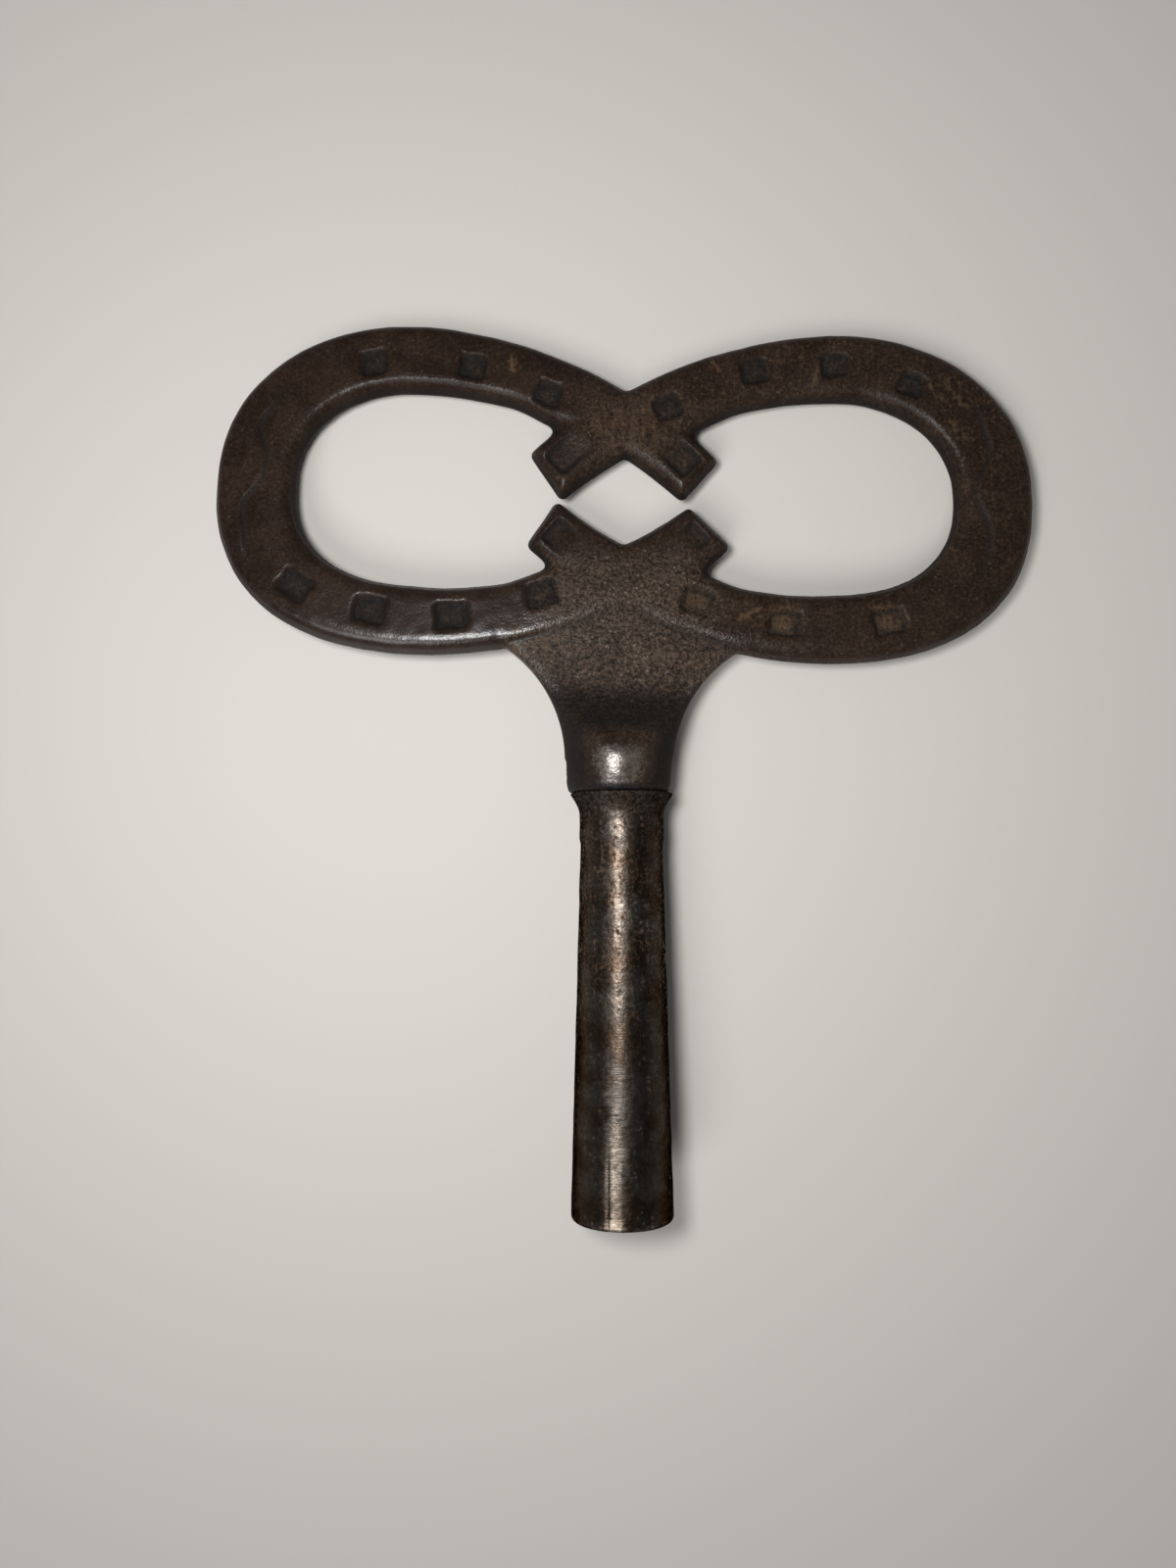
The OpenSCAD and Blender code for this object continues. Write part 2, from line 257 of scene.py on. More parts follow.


# The skin of old iron that barrel, bow and pin share: brown oxide in clouds, ochre rust in patches,
# bare metal where hands have worn it, soot and painted shade in the hollows, fine grain and a few bright
# specks.
# Its masks have the names of the values that each mesh carries.
skin_tints = ("Brown", "Dark", "Ochre", "Bare", "Soot_and_shade", "Dust")
skin_masks = ("Wear", "Rust", "Grain", "Sunk", "Turned", "Metal", "Polish")
old_skin = bpy.data.node_groups.new("old_iron_skin", "ShaderNodeTree")
old_skin.interface.new_socket("Place", in_out="INPUT", socket_type="NodeSocketVector")
for name in skin_tints:
    old_skin.interface.new_socket(name, in_out="INPUT", socket_type="NodeSocketColor")
for name in skin_masks:
    old_skin.interface.new_socket(name, in_out="INPUT", socket_type="NodeSocketFloat")
given = old_skin.nodes.new("NodeGroupInput").outputs
across_lathe = stretched(old_skin, given["Place"], (0.03, 1.0, 0.03))
along_scratch = stretched(old_skin, given["Place"], (1.0, 0.12, 1.0), slope=0.75)
clouds = noise(old_skin, given["Place"], 380, 4)
patches = noise(old_skin, given["Place"], 1100, 4, 0.65)
flecks = noise(old_skin, given["Place"], 3000, 2)
grit = noise(old_skin, given["Place"], 5600, 1)
speckle = noise(old_skin, given["Place"], 3600, 4, 0.75)
scratches = noise(old_skin, along_scratch, 3400, 2)
lathe = noise(old_skin, across_lathe, 34000, 0)
voronoi = add_node(old_skin, "ShaderNodeTexVoronoi", {"Vector": given["Place"], "Scale": 2600})

# Oxide, dust and grain, then rust over them, then soot and painted shade over the rust.
colour = mixed(old_skin, soft_step(old_skin, clouds, 0.35, 0.65), given["Dark"], given["Brown"])
dusty = soft_step(old_skin, given["Grain"], 0.25, 1.0, 0.0, 0.9)
dusty = product(old_skin, dusty, soft_step(old_skin, patches, 0.36, 0.6, 0.45, 1.0))
colour = mixed(old_skin, dusty, colour, given["Dust"])
shade = soft_step(old_skin, speckle, 0.36, 0.68, 0.2, 2.4)
contrast = soft_step(old_skin, given["Grain"], -0.2, 1.0, 0.0, 0.85)
colour = mixed(old_skin, contrast, colour, mixed(old_skin, 1.0, colour, shade, "MULTIPLY"))
rusty = with_shares(
    old_skin, given["Rust"], (patches, 0.4), (flecks, 0.7), (grit, 0.3), (scratches, 0.5),
)
rusty = soft_step(old_skin, rusty, 1.04, 1.45)
colour = mixed(old_skin, rusty, colour, given["Ochre"])
soot_and_shade_share = product(old_skin, given["Sunk"], soft_step(old_skin, flecks, 0.3, 0.65, 1.0, 0.7))
colour = mixed(old_skin, soot_and_shade_share, colour, given["Soot_and_shade"])

# Bare metal shows where it is worn, and in specks outside the hollows.
worn = with_shares(old_skin, given["Wear"], (flecks, 0.5), (grit, 0.4))
worn = soft_step(old_skin, worn, 0.7, 1.3)
colour = mixed(old_skin, worn, colour, given["Bare"])
specks = product(
    old_skin,
    soft_step(old_skin, voronoi.outputs["Distance"], 0.32, 0.18),
    soft_step(old_skin, speckle, 0.5, 0.62),
    soft_step(old_skin, given["Sunk"], 0.3, 0.0),
    soft_step(old_skin, given["Grain"], 0.3, 0.9, 0.12, 0.8),
)
colour = mixed(old_skin, specks, colour, given["Bare"])

rough = soft_step(old_skin, flecks, 0.3, 0.7, 0.15, 0.23)
rough = with_shares(
    old_skin, rough, (given["Grain"], 0.34), (rusty, 0.1), (given["Sunk"], 0.4), (given["Turned"], 0.35),
)
metal = product(old_skin, given["Metal"], soft_step(old_skin, rusty, 0.0, 0.6, 1.0, 0.0))
metal = calculated(old_skin, "MAXIMUM", metal, product(old_skin, worn, 0.85))
coat = product(old_skin, given["Polish"], soft_step(old_skin, speckle, 0.62, 0.4, 0.6, 1.0))
grain_relief = calculated(old_skin, "POWER", given["Grain"], 1.6)
relief = product(old_skin, calculated(old_skin, "ADD", flecks, grit), grain_relief)
relief = calculated(old_skin, "ADD", relief, product(old_skin, lathe, given["Turned"], 0.5))

skin_results = {"Color": colour, "Roughness": rough, "Metallic": metal, "Coat": coat, "Height": relief}
for name in skin_results:
    kind = "Color" if name == "Color" else "Float"
    old_skin.interface.new_socket(name, in_out="OUTPUT", socket_type="NodeSocket" + kind)
add_node(old_skin, "NodeGroupOutput", skin_results)


def old_iron(name, tints, relief_depth, edge_tint=(1, 1, 1)):
    """A material of the shared skin, with its own colours and the depth of its grain in metres."""
    material = bpy.data.materials.new(name)
    material.use_nodes = True
    tree = material.node_tree
    shader = tree.nodes["Principled BSDF"]
    inputs = {"Place": add_node(tree, "ShaderNodeTexCoord").outputs["Object"]}
    for tint in skin_tints:
        inputs[tint] = (*tints[tint.lower()], 1.0)
    for mask in skin_masks:
        inputs[mask] = add_node(tree, "ShaderNodeAttribute", attribute_name=mask.lower()).outputs["Fac"]
    skin = add_node(tree, "ShaderNodeGroup", inputs, node_tree=old_skin).outputs
    bumps = {"Height": skin["Height"], "Strength": 1.0, "Distance": relief_depth}
    bump = add_node(tree, "ShaderNodeBump", bumps).outputs[0]
    for socket, value in (
        ("Base Color", skin["Color"]),
        ("Roughness", skin["Roughness"]),
        ("Metallic", skin["Metallic"]),
        ("Coat Weight", skin["Coat"]),
        ("Normal", bump),
        ("Coat Normal", bump),
    ):
        tree.links.new(value, shader.inputs[socket])
    shader.inputs["Coat Roughness"].default_value = 0.27
    shader.inputs["Coat IOR"].default_value = 1.5
    shader.inputs["Specular IOR Level"].default_value = 0.08
    shader.inputs["Specular Tint"].default_value = (*edge_tint, 1.0)
    return material


barrel_tints = {
    "brown": (0.088, 0.076, 0.066),
    "dark": (0.051, 0.036, 0.026),
    "ochre": (0.05, 0.021, 0.008),
    "bare": (0.36, 0.3, 0.24),
    "soot_and_shade": (0.004, 0.0032, 0.0026),
    "dust": (0.05, 0.04, 0.032),
}
barrel_edge = (0.08, 0.05, 0.03)
barrel.data.materials.append(
    old_iron("barrel_bronzed_steel", barrel_tints, relief_depth=0.00008, edge_tint=barrel_edge)
)
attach(barrel, "root")
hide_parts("barrel")

# Bow: one sand casting in iron of two horseshoes lying on their sides, a flared web and a round collar.
# The pits, heel recesses and toe pads come from the mould, on both faces alike.
# The casting leans a little out of square with the barrel that is driven into it.
bow_low, bow_high = (np.array(corner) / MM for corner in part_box("bow"))
bow_lean, lean_up = np.radians(1.3), 11.5
bow_up, shoe_tilt, shoe_reach = 23.2, np.radians(3.4), 16.7
shoe_half_t, toe_len, shoe_half_h = 1.4, 16.2, 13.5
toe_w, branch_w, heel_w, side_draw = 6.4, 5.6, 4.5, 0.5
heel_gap, heel_gap_up, heel_corner = 0.1, 0.5, 0.55
edge_round, crotch_round, step_round, lip_round = 0.5, 0.3, 0.08, 0.34
crown_drop, crown_width = 0.14, 1.0
crease_depth, crease_x, crease_half_w = 0.05, 0.3, 0.3
upper = {"side": 1, "fullness": 2.1, "radius": 34.7, "gap": heel_gap / 2 + heel_gap_up}
lower = {"side": -1, "fullness": 2.4, "radius": 32.4, "gap": heel_gap / 2 - heel_gap_up}
toe_steps, branch_steps = 40, 50
collar_r, collar_crest, collar_draw = 4.3, 2.8, 0.36
web_half_t, web_foot, web_sunk = 1.0, 9.2, 0.3
neck_r, neck_start, neck_reach, neck_top = 10.9, 2.3, 9.9, 15.2
web_fullness, round_fullness = 7.0, 2.0
tenon_room = 0.3
cast_pitch = 0.16
grid_room, least_slope = 4 * cast_pitch, 0.02

# How the pattern of each heel, upper and then lower, strays from the drawn one: its outer side lies further
# out, its inner side further in, and the outer and the inner corner of its end are further on.
# The sides stray, and the notches before the heels fill up, between these shares of a branch's length.
left_heels = [(0.17, 0.11, -0.21, -0.03), (0.7, 0.37, 0.7, 0.36)]
right_heels = [(0.47, 0.27, -0.19, 0.35), (0.27, 0.32, 0.05, 0.59)]
outer_stray, inner_stray = (0.6, 0.85), (0.7, 1.0)
notch_fill, notch_round, notch_start, notch_end = 0.45, 1.05, (0.3, 0.5), (0.68, 0.52)

# Where the nail pits lie in each shoe: along it from where the toe becomes a branch, and across it.
left_pits = [
    (-4.2, 9.7), (3.7, 10.0), (9.9, 8.3),
    (-8.8, -8.9), (-2.7, -10.35), (3.8, -10.3), (10.75, -7.95),
]
right_pits = [
    (-6.65, 8.7), (-0.55, 10.55), (5.9, 10.3), (12.95, 7.55),
    (-3.8, -10.45), (4.5, -10.3), (11.3, -8.25),
]
upper_pit, lower_pit = (2.1, 1.85), (2.5, 2.05)
pit_depth, pit_wall, pit_corner = 0.42, 0.26, 0.35

# Each shoe's heels are recessed, the upper and then the lower one over these lengths.
left_recesses, right_recesses = (3.6, 1.7), (3.4, 2.3)
recess_w, recess_depth, recess_wall, recess_rim = 2.2, 0.34, 0.18, 1.0

# The pads of the toes end in wavy lines, given as places across the shoe and along it.
left_pad = [
    (-6.4, -13.0), (-3.5, -13.6), (-2.7, -13.8), (-0.5, -12.2),
    (1.3, -12.0), (3.8, -13.1), (6.0, -11.6),
]
right_pad = [
    (-7.0, -10.8), (-5.8, -12.1), (-3.3, -12.4), (-0.4, -11.2),
    (0.5, -11.5), (2.8, -12.8), (6.2, -11.9),
]
pad_rise, pad_step, pad_half_h, pad_fade = 0.18, 0.16, 6.4, 0.8
pad_smoothing = np.linspace(-0.7, 0.7, 5)

# Soot lies on the floors of the pits and recesses. Rings a little inside their edges, and along the pad's
# line, are soot with painted shade.
pit_soot, recess_soot, pad_soot_and_shade = 0.65, 0.2, 0.65
ring_in, pit_ring, recess_ring, pad_ring = 0.12, 0.16, 0.18, 0.22


def turned(place, angle):
    """Places in a plane, turned about its origin."""
    along, across = place[..., 0], place[..., 1]
    new_along = along * np.cos(angle) - across * np.sin(angle)
    new_across = along * np.sin(angle) + across * np.cos(angle)
    return np.stack([new_along, new_across], -1)


def toe_line(half_len, half_h, fullness, turn):
    """Points of a toe's curve, from its tip at a turn of 0 to the start of a branch at a quarter turn."""
    along = -half_len * np.cos(turn) ** (2 / fullness)
    across = half_h * np.sin(turn) ** (2 / fullness)
    return np.stack([along, across], -1)


def heel_turn(branch):
    """Angle that a branch turns through until the corner of its heel is at its gap from the middle."""
    inner_r = branch["radius"] - heel_w / 2
    return np.arccos((branch["gap"] + branch["radius"] - shoe_half_h + branch_w / 2) / inner_r)


def branch_line(branch, turn, off=0.0):
    """Points along the middle of a branch, or off to its outer side."""
    middle = shoe_half_h - branch_w / 2 - branch["radius"]
    radius = branch["radius"] + off
    return np.stack([radius * np.sin(turn), middle + radius * np.cos(turn)], -1)


def half_outline(branch, heel, inset):
    """Outer and inner edge of half a horseshoe, drawn in by an inset, from its toe to its heel."""
    toe = np.linspace(0, np.pi / 2, toe_steps)[:-1]
    share = np.linspace(0, 1, branch_steps)
    turn = share * (heel_turn(branch) - inset / branch["radius"])
    half_w = (branch_w + (heel_w - branch_w) * share) / 2 - inset
    outer_side, inner_side, outer_end, inner_end = heel
    outer_w = half_w + outer_side * ease(*outer_stray, share)
    inner_w = half_w - inner_side * np.interp(share, inner_stray, (0, 1))
    inner_w = inner_w + notch_fill * ease(*notch_start, share) * ease(*notch_end, share)
    outer_turn = turn + share * outer_end / branch["radius"]
    inner_turn = turn + share * inner_end / branch["radius"]
    outer_toe = toe_line(toe_len - inset, shoe_half_h - inset, branch["fullness"], toe)
    inner_toe = toe_line(toe_len - toe_w + inset, shoe_half_h - branch_w + inset, branch["fullness"], toe)
    outer = np.concatenate([outer_toe, branch_line(branch, outer_turn, outer_w)])
    inner = np.concatenate([inner_toe, branch_line(branch, inner_turn, -inner_w)])
    return outer * (1, branch["side"]), inner * (1, branch["side"])


def off_line(place, start, end):
    """Offsets of places in a plane from the nearest point of a straight line between two points."""
    edge, off = np.subtract(end, start), place - start
    share = np.clip(off @ edge / (edge @ edge), 0, 1)
    return off - share[..., None] * edge


def outline_distance(place, outline):
    """Distance of places in a plane from a closed outline, negative inside it."""
    nearest = np.full(place.shape[:-1], np.inf)
    inside = np.zeros(place.shape[:-1], bool)
    for start, end in zip(outline, np.roll(outline, -1, axis=0)):
        nearest = np.minimum(nearest, np.hypot(*np.moveaxis(off_line(place, start, end), -1, 0)))
        edge, off = end - start, place - start
        if edge[1]:
            spans = (off[..., 1] >= 0) != (off[..., 1] >= edge[1])
            inside ^= spans & (off[..., 0] < edge[0] * off[..., 1] / edge[1])
    return np.where(inside, -nearest, nearest)


def joined(first, second, fillet):
    """Two distances joined, with a fillet in the corner between their surfaces."""
    bite = np.maximum(fillet - np.abs(first - second), 0)
    return np.minimum(first, second) - bite * bite / (4 * fillet)


def sinking(place, centre, slope, length, width):
    """Distance from the edge of a round-cornered sinking in a face, negative inside it."""
    off = np.abs(turned(place - centre, -slope)) - np.array([length, width]) / 2 + pit_corner
    outside = np.hypot(*np.moveaxis(np.maximum(off, 0), -1, 0))
    return outside + np.minimum(off.max(-1), 0) - pit_corner


def iron_slope(branch, along):
    """Slope of a branch, or of the toe's middle line, at a distance along the shoe."""
    if along > 0:
        return -branch["side"] * np.arcsin(along / branch["radius"])
    half_len, half_h, power = toe_len - toe_w / 2, shoe_half_h - branch_w / 2, branch["fullness"]
    share = -along / half_len
    rise = half_h / half_len * share ** (power - 1) * (1 - share ** power) ** (1 / power - 1)
    return branch["side"] * np.arctan(rise)


class Horseshoe:
    """One horseshoe of the casting, over the places of the grid in its own frame with the toe to the left.

    edge is the distance from its outline. sunk and rise are the depth of its sinkings and the height of
    its pad. floor is soot, ring is soot with painted shade just inside the edges of the sinkings and along
    the pad's line, and dull is where its edges aren't rubbed.
    """

    def __init__(self, hand, heels, pits, recess_lengths, pad_line):
        turned_back = turned(middle_place, -hand * shoe_tilt)
        self.hand = hand
        self.place = turned_back * (-hand, 1) + (shoe_reach, 0)
        top = half_outline(upper, heels[0], heel_corner)
        bottom = half_outline(lower, heels[1], heel_corner)
        outer = np.concatenate([bottom[0][:0:-1], top[0]])
        inner = np.concatenate([bottom[1][:0:-1], top[1]])
        outline = np.concatenate([outer, inner[::-1]])
        self.edge = outline_distance(self.place, outline) - heel_corner
        self.sunk, self.floor, self.ring, self.dull = np.zeros((4,) + self.edge.shape)
        for pit in pits:
            self.add_pit(*pit)
        for branch, heel, length in zip((upper, lower), heels, recess_lengths):
            self.add_recess(branch, heel, length)
        self.add_pad(pad_line)

    def add_pit(self, along, across):
        """A nail pit, square to the iron where it lies."""
        branch, size = (upper, upper_pit) if across > 0 else (lower, lower_pit)
        pit = sinking(self.place, (along, across), iron_slope(branch, along), *size)
        pit = pit + unevenness(self.place, depth=0.05, wavelength=1.6, seed=31 + self.hand)
        self.sunk += pit_depth * ease(pit_wall, -pit_wall, pit)
        self.floor = np.maximum(self.floor, pit_soot * ease(0.1, -0.2, pit))
        self.ring = np.maximum(self.ring, band(pit, -ring_in, pit_ring))
        self.dull = np.maximum(self.dull, ease(0.9, 0.3, pit))

    def add_recess(self, branch, heel, length):
        """A heel's recess, which fades out towards the branch."""
        turn = heel_turn(branch)
        flip = np.array([1, branch["side"]])
        way = np.array([np.cos(turn), -np.sin(turn)])
        back = recess_rim + length / 2 - (heel[2] + heel[3]) / 2
        centre = (branch_line(branch, turn, (heel[0] + heel[1]) / 2) - way * back) * flip
        recess = sinking(self.place, centre, -turn * branch["side"], length, recess_w)
        fading = ease(-length * 1.1, -length * 0.3, (self.place - centre) @ (way * flip) - length / 2)
        self.sunk += recess_depth * ease(recess_wall, -recess_wall, recess) * fading
        self.floor = np.maximum(self.floor, recess_soot * ease(0.3, -0.2, recess) * fading)
        self.ring = np.maximum(self.ring, band(recess, -ring_in, recess_ring) * fading)

    def add_pad(self, pad_line):
        """The raised pad of the toe, up to its wavy line."""
        along, across = self.place[..., 0], self.place[..., 1]
        line_across, line_along = np.array(pad_line).T
        lines = [np.interp(across + shift, line_across, line_along) for shift in pad_smoothing]
        past_line = along - np.mean(lines, axis=0)
        on_toe = ease(pad_half_h + pad_fade, pad_half_h - pad_fade, np.abs(across))
        self.rise = pad_rise * ease(pad_step, -pad_step, past_line) * on_toe
        # The pad's line is soot with painted shade.
        self.ring = np.maximum(self.ring, pad_soot_and_shade * band(past_line, 0.1, pad_ring) * on_toe)
        self.dull = np.maximum(self.dull, band(past_line, 0, 0.6) * on_toe)


# The casting is worked out on a grid of points as its distance from its surface.
# First come the outlines of the horseshoes and the neck, and the height of the faces.
steps = [
    np.arange(low - grid_room, high + grid_room, cast_pitch)
    for low, high in zip(bow_low, bow_high)
]
plan = np.stack(np.meshgrid(steps[0], steps[1], indexing="ij"), -1)
leaned_place = turned(plan - (0, seam + lean_up), bow_lean)
middle_place = leaned_place - (0, bow_up - lean_up)
left_shoe = Horseshoe(-1, left_heels, left_pits, left_recesses, left_pad)
right_shoe = Horseshoe(1, right_heels, right_pits, right_recesses, right_pad)
corner_round = crotch_round + (notch_round - crotch_round) * ease(3, 5, np.abs(middle_place[..., 0]))
shoe_edge = joined(left_shoe.edge, right_shoe.edge, corner_round)
shoe_edge = shoe_edge + unevenness(plan, depth=0.015, wavelength=6.0, seed=21)
shoe_edge = shoe_edge + unevenness(plan, depth=0.008, wavelength=2.0, seed=22)
up = leaned_place[..., 1] + lean_up
collar = collar_r - collar_draw * (np.maximum(collar_crest - up, 0) / collar_crest) ** 2
sweep = np.clip((up - neck_start) / neck_r, 0, 1)
neck_half_w = np.minimum(neck_reach, collar + neck_r * (1 - np.sqrt(1 - sweep * sweep)))
from_flank = np.abs(leaned_place[..., 0]) - neck_half_w
off_neck = np.maximum(ease(-1.2, 0.2, from_flank), ease(neck_top, neck_top + 2, up))
crease = band(middle_place[..., 0], crease_x, crease_half_w) * ease(2.5, 4.0, middle_place[..., 1])
crown = crown_drop * ease(-crown_width, 0.2, shoe_edge + side_draw) * off_neck
rise = left_shoe.rise + right_shoe.rise - crease_depth * crease - crown
rise = rise + unevenness(plan, depth=0.015, wavelength=6.0, seed=23)
rise = rise + unevenness(plan, depth=0.008, wavelength=1.6, seed=24)
level = np.abs(steps[2]) + (left_shoe.sunk + right_shoe.sunk - rise)[..., None]

# The horseshoes have drafted sides and rounded edges.
face = level - shoe_half_t + edge_round
draw_slope = side_draw / shoe_half_t
side = (shoe_edge[..., None] + draw_slope * np.abs(steps[2])) / np.hypot(1, draw_slope) + edge_round
shoes = np.hypot(np.maximum(side, 0), np.maximum(face, 0)) - edge_round
shoes = shoes + np.minimum(np.maximum(side, face), 0)

# The neck goes from a round collar to a flat web, whose faces end a step below the horseshoes'.
share = np.clip((up - neck_start) / (web_foot - neck_start), 0, 1)
into_web = share ** 3 * (10 - 15 * share + 6 * share ** 2)
swell = (shoe_half_t - web_sunk - web_half_t) * ease(web_foot, neck_top, up)
neck_half_t = collar * (1 - into_web) + into_web * (web_half_t + swell)
power = (round_fullness + (web_fullness - round_fullness) * into_web)[..., None]
out = np.abs(leaned_place[..., :1] / neck_half_w[..., None]) ** power
thick = np.maximum(level, 0) / neck_half_t[..., None]
neck = (out + thick ** power) ** (1 / power)
slope = np.sqrt(sum(part * part for part in np.gradient(neck, cast_pitch)))
neck = (neck - 1) / np.maximum(slope, least_slope)
neck = np.maximum(neck, (up - neck_top)[..., None])

# The casting is cut off at the seam, bored for the tenon and drilled for the cross pin.
casting = joined(shoes, neck, step_round)
height = plan[..., 1][..., None] - seam
casting = -joined(-casting, height, lip_round)
from_axis = np.hypot(plan[..., :1], steps[2])
bore = np.maximum(from_axis - tenon_r, height - (tenon_top - seam + tenon_room))
pin_low, pin_high = (np.array(corner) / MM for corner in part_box("cross_pin"))
pin_r = (pin_high[2] - pin_low[2]) / 2
pin_y = (pin_high[1] + pin_low[1]) / 2
pin_hole = np.hypot(plan[..., 1][..., None] - pin_y, steps[2]) - pin_r
casting = np.maximum(casting, -np.minimum(bore, np.broadcast_to(pin_hole, casting.shape)))


def neighbours(values, axis):
    """A grid's values without the last ones along an axis, and without the first ones."""
    along = np.moveaxis(values, axis, 0)
    return np.moveaxis(along[:-1], 0, axis), np.moveaxis(along[1:], 0, axis)


def corner_mean(values):
    """Mean of a grid's values at the corners of each cell."""
    for axis in range(3):
        low, high = neighbours(values, axis)
        values = (low + high) / 2
    return values


def blurred(values, times):
    """A grid's values, each blurred with its neighbours a number of times."""
    for _ in range(times):
        for axis in range(3):
            values = (np.roll(values, 1, axis) + 2 * values + np.roll(values, -1, axis)) / 4
    return values


def surface_skin(distance, low, pitch):
    """A point in each cell that the surface passes through, the faces between them, and those cells."""
    cells = tuple(count - 1 for count in distance.shape)
    spot_sum, spot_count = np.zeros(cells + (3,)), np.zeros(cells)
    corner_cells = []
    for axis in range(3):
        first, second = neighbours(distance, axis)
        cut = np.argwhere((first < 0) != (second < 0))
        first, second = first[tuple(cut.T)], second[tuple(cut.T)]
        spot = cut.astype(float)
        spot[:, axis] += first / (first - second)
        ring = []
        for back in ((0, 0), (1, 0), (1, 1), (0, 1)):
            cell = cut.copy()
            cell[:, (axis + 1) % 3] -= back[0]
            cell[:, (axis + 2) % 3] -= back[1]
            np.add.at(spot_sum, tuple(cell.T), spot)
            np.add.at(spot_count, tuple(cell.T), 1)
            ring.append(np.ravel_multi_index(tuple(cell.T), cells))
        ring = np.stack(ring, -1)
        ring[first > 0] = ring[first > 0][:, ::-1]
        corner_cells.append(ring)
    used = np.flatnonzero(spot_count)
    number = np.zeros(spot_count.size, int)
    number[used] = np.arange(len(used))
    points = spot_sum.reshape(-1, 3)[used] / spot_count.reshape(-1, 1)[used]
    return low + points * pitch, number[np.concatenate(corner_cells)], used


def at_points(values):
    """A grid's values, as they are at each point of the casting's skin."""
    return corner_mean(values).ravel()[cells]


def spread(values):
    """Values over the casting's plan, as they are at each point of its skin."""
    return at_points(np.broadcast_to(values[..., None], casting.shape))


def patch(place, centre, radius):
    """1 at the centre of a round or oval patch, and smoothly down to nearly 0 beyond twice its radius."""
    return np.exp(-(((place - centre) / radius) ** 2).sum(-1))


grid_low = np.array([step[0] for step in steps])
points, faces, cells = surface_skin(casting, grid_low, cast_pitch)

# Ochre rust gathers at the crossings and on the right: each spot has a place, a radius and an amount,
# and each scratch its two ends and an amount.
ochre_spots = [
    (0.3, 61.6, 3.4, 0.2), (-3.0, 62.5, 2.5, 0.1), (3.0, 63.5, 2.8, 0.12), (14.0, 67.5, 5.0, 0.06),
    (-8.7, 67.3, 0.6, 0.3), (27.5, 63.0, 3.2, 0.06), (9.5, 47.0, 2.0, 0.2), (16.0, 46.0, 4.0, 0.04),
    (-6.0, 44.9, 2.0, 0.26), (-8.4, 44.9, 1.4, 0.24), (6.6, 42.6, 1.6, 0.18), (-3.4, 39.0, 0.8, 0.36),
    (-28.6, 57.2, 1.2, 0.2), (5.6, 48.2, 1.3, 0.36), (12.7, 46.3, 1.4, 0.44), (21.2, 46.5, 1.4, 0.44),
]
ochre_scratches = [
    ((1.3, 37.0), (2.4, 38.1), 0.35), ((2.4, 38.1), (3.1, 39.2), 0.35), ((3.1, 39.2), (3.5, 40.2), 0.4),
    ((-8.9, 68.3), (-8.6, 66.6), 0.38), ((24.6, 65.6), (26.3, 63.9), 0.2), ((25.6, 66.2), (28.0, 63.2), 0.2),
    ((26.4, 62.6), (27.5, 61.4), 0.2), ((15.8, 66.9), (15.3, 65.6), 0.3), ((7.2, 68.0), (7.9, 66.6), 0.35),
    ((9.2, 46.6), (10.8, 47.4), 0.3),
]
scratch_half_w = 0.2
plan_x, plan_y = plan[..., 0], plan[..., 1]
rust = -0.06 + 0.12 * ease(-4, 12, plan_x) * ease(44, 54, plan_y) + 0.06 * ease(6, 4, up)
for spot_x, spot_y, radius, amount in ochre_spots:
    rust = rust + amount * patch(plan, (spot_x, spot_y), radius)
for start, end, amount in ochre_scratches:
    rust = rust + amount * patch(off_line(plan, start, end), 0, scratch_half_w)

# Where things lie in the plan: the web is grainy, the rubbed patch below on the left is smooth,
# and a band of painted shade and a glossy band run along the step between the web and the horseshoes.
floors = np.maximum(left_shoe.floor, right_shoe.floor)
rings = np.maximum(left_shoe.ring, right_shoe.ring)
rusty_floor = ease(2, 4, plan_x) * ease(53, 51, plan_y)
web_edge = 9 + 4 * ease(46, 43, plan_y)
on_web = ease(54, 49, plan_y) * ease(36.5, 40, plan_y) * ease(web_edge, web_edge - 5, np.abs(plan_x))
on_right = ease(-2, 8, plan_x)
crossing = patch(plan, (0, 62), 4)
low_neck = ease(6, 4, up)
rubbed = patch(plan, (-15, 46), (10, 3.4)) * (1 - floors / pit_soot)
flank = band(from_flank, -0.6, 0.45) * ease(5, 8, up) * ease(neck_top - 1, neck_top - 4, up)
in_neck = (1 - off_neck) * ease(7, 9, up) * ease(0.5, 3.5, np.abs(plan_x))
step_shade = in_neck * band(shoe_edge, -0.3, 0.22)
step_ridge = in_neck * band(shoe_edge, -0.8, 0.22)
neck_face = ease(0.2, -0.6, from_flank) * ease(3, 5, up) * ease(neck_top, neck_top - 1, up)
grain = 0.32 + 0.1 * on_right + 0.6 * on_web + 0.25 * crossing + 0.12 * low_neck
grain = grain + 0.5 * floors - 0.1 * rubbed
# Soot on the pit and recess floors, soot with painted shade in the rings, and painted shade in the crease
# and along the step.
sunk = np.maximum(floors * (1 - 0.8 * rusty_floor), rings * (1 - 0.5 * rusty_floor))
sunk = sunk + 0.2 * crease + 0.6 * step_shade
glossy = 0.5 * flank + 0.4 * step_ridge + 0.5 * rubbed
